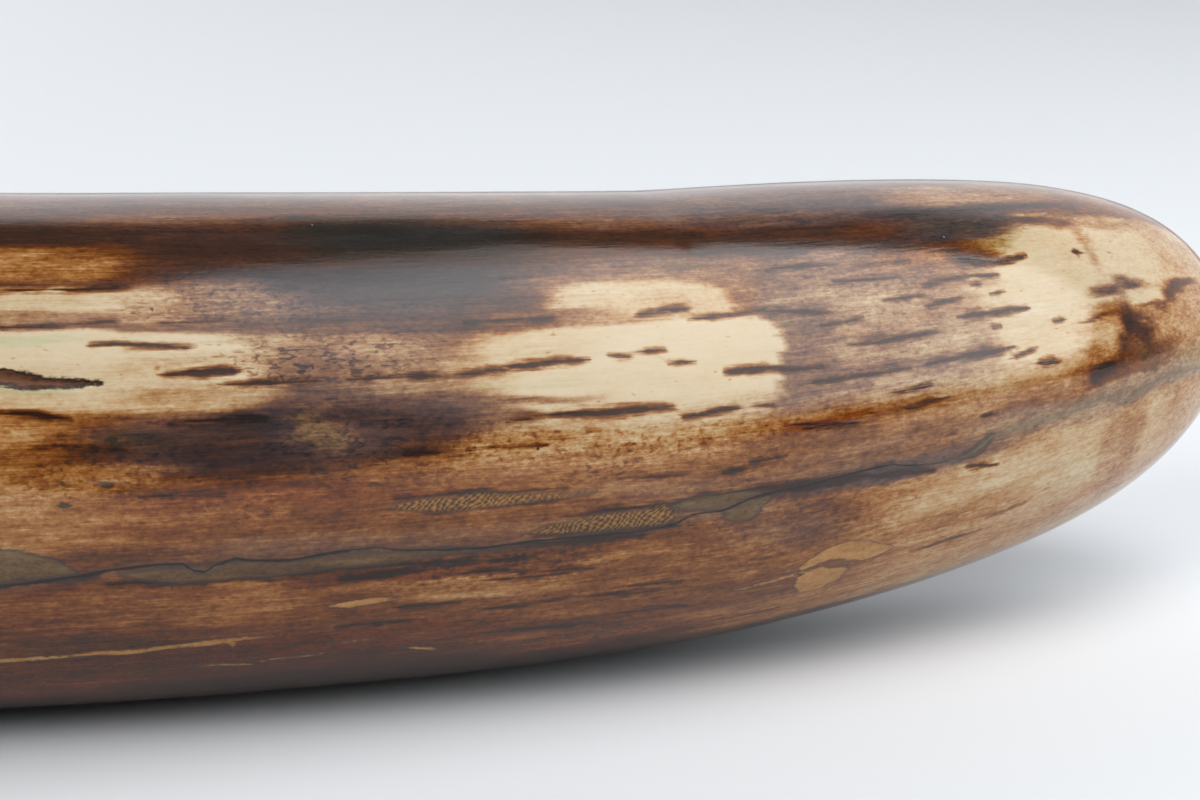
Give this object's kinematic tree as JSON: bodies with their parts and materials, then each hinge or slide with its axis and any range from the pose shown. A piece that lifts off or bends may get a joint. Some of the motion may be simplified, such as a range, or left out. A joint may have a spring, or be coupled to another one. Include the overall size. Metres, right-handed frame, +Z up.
{
  "type": "mammoth tusk",
  "caption": "Polished mammoth tusk lying on its side: a round, gently curved horn of stained ivory with a blunt nose, long drying cracks and a sawn flat base.",
  "frame": {"origin": "middle of the bottom of the bounding box, on the surface that the tusk lies on", "axes": "+X runs along the tusk's longest extent towards its blunt nose, +Y points to the hollow side of its bend, +Z is up"},
  "size_m": [0.4736, 0.1266, 0.0676],
  "materials": {
    "polished_ivory": "polished"
  },
  "bodies": {
    "root": {"tusk": "polished_ivory"}
  },
  "joints": []
}
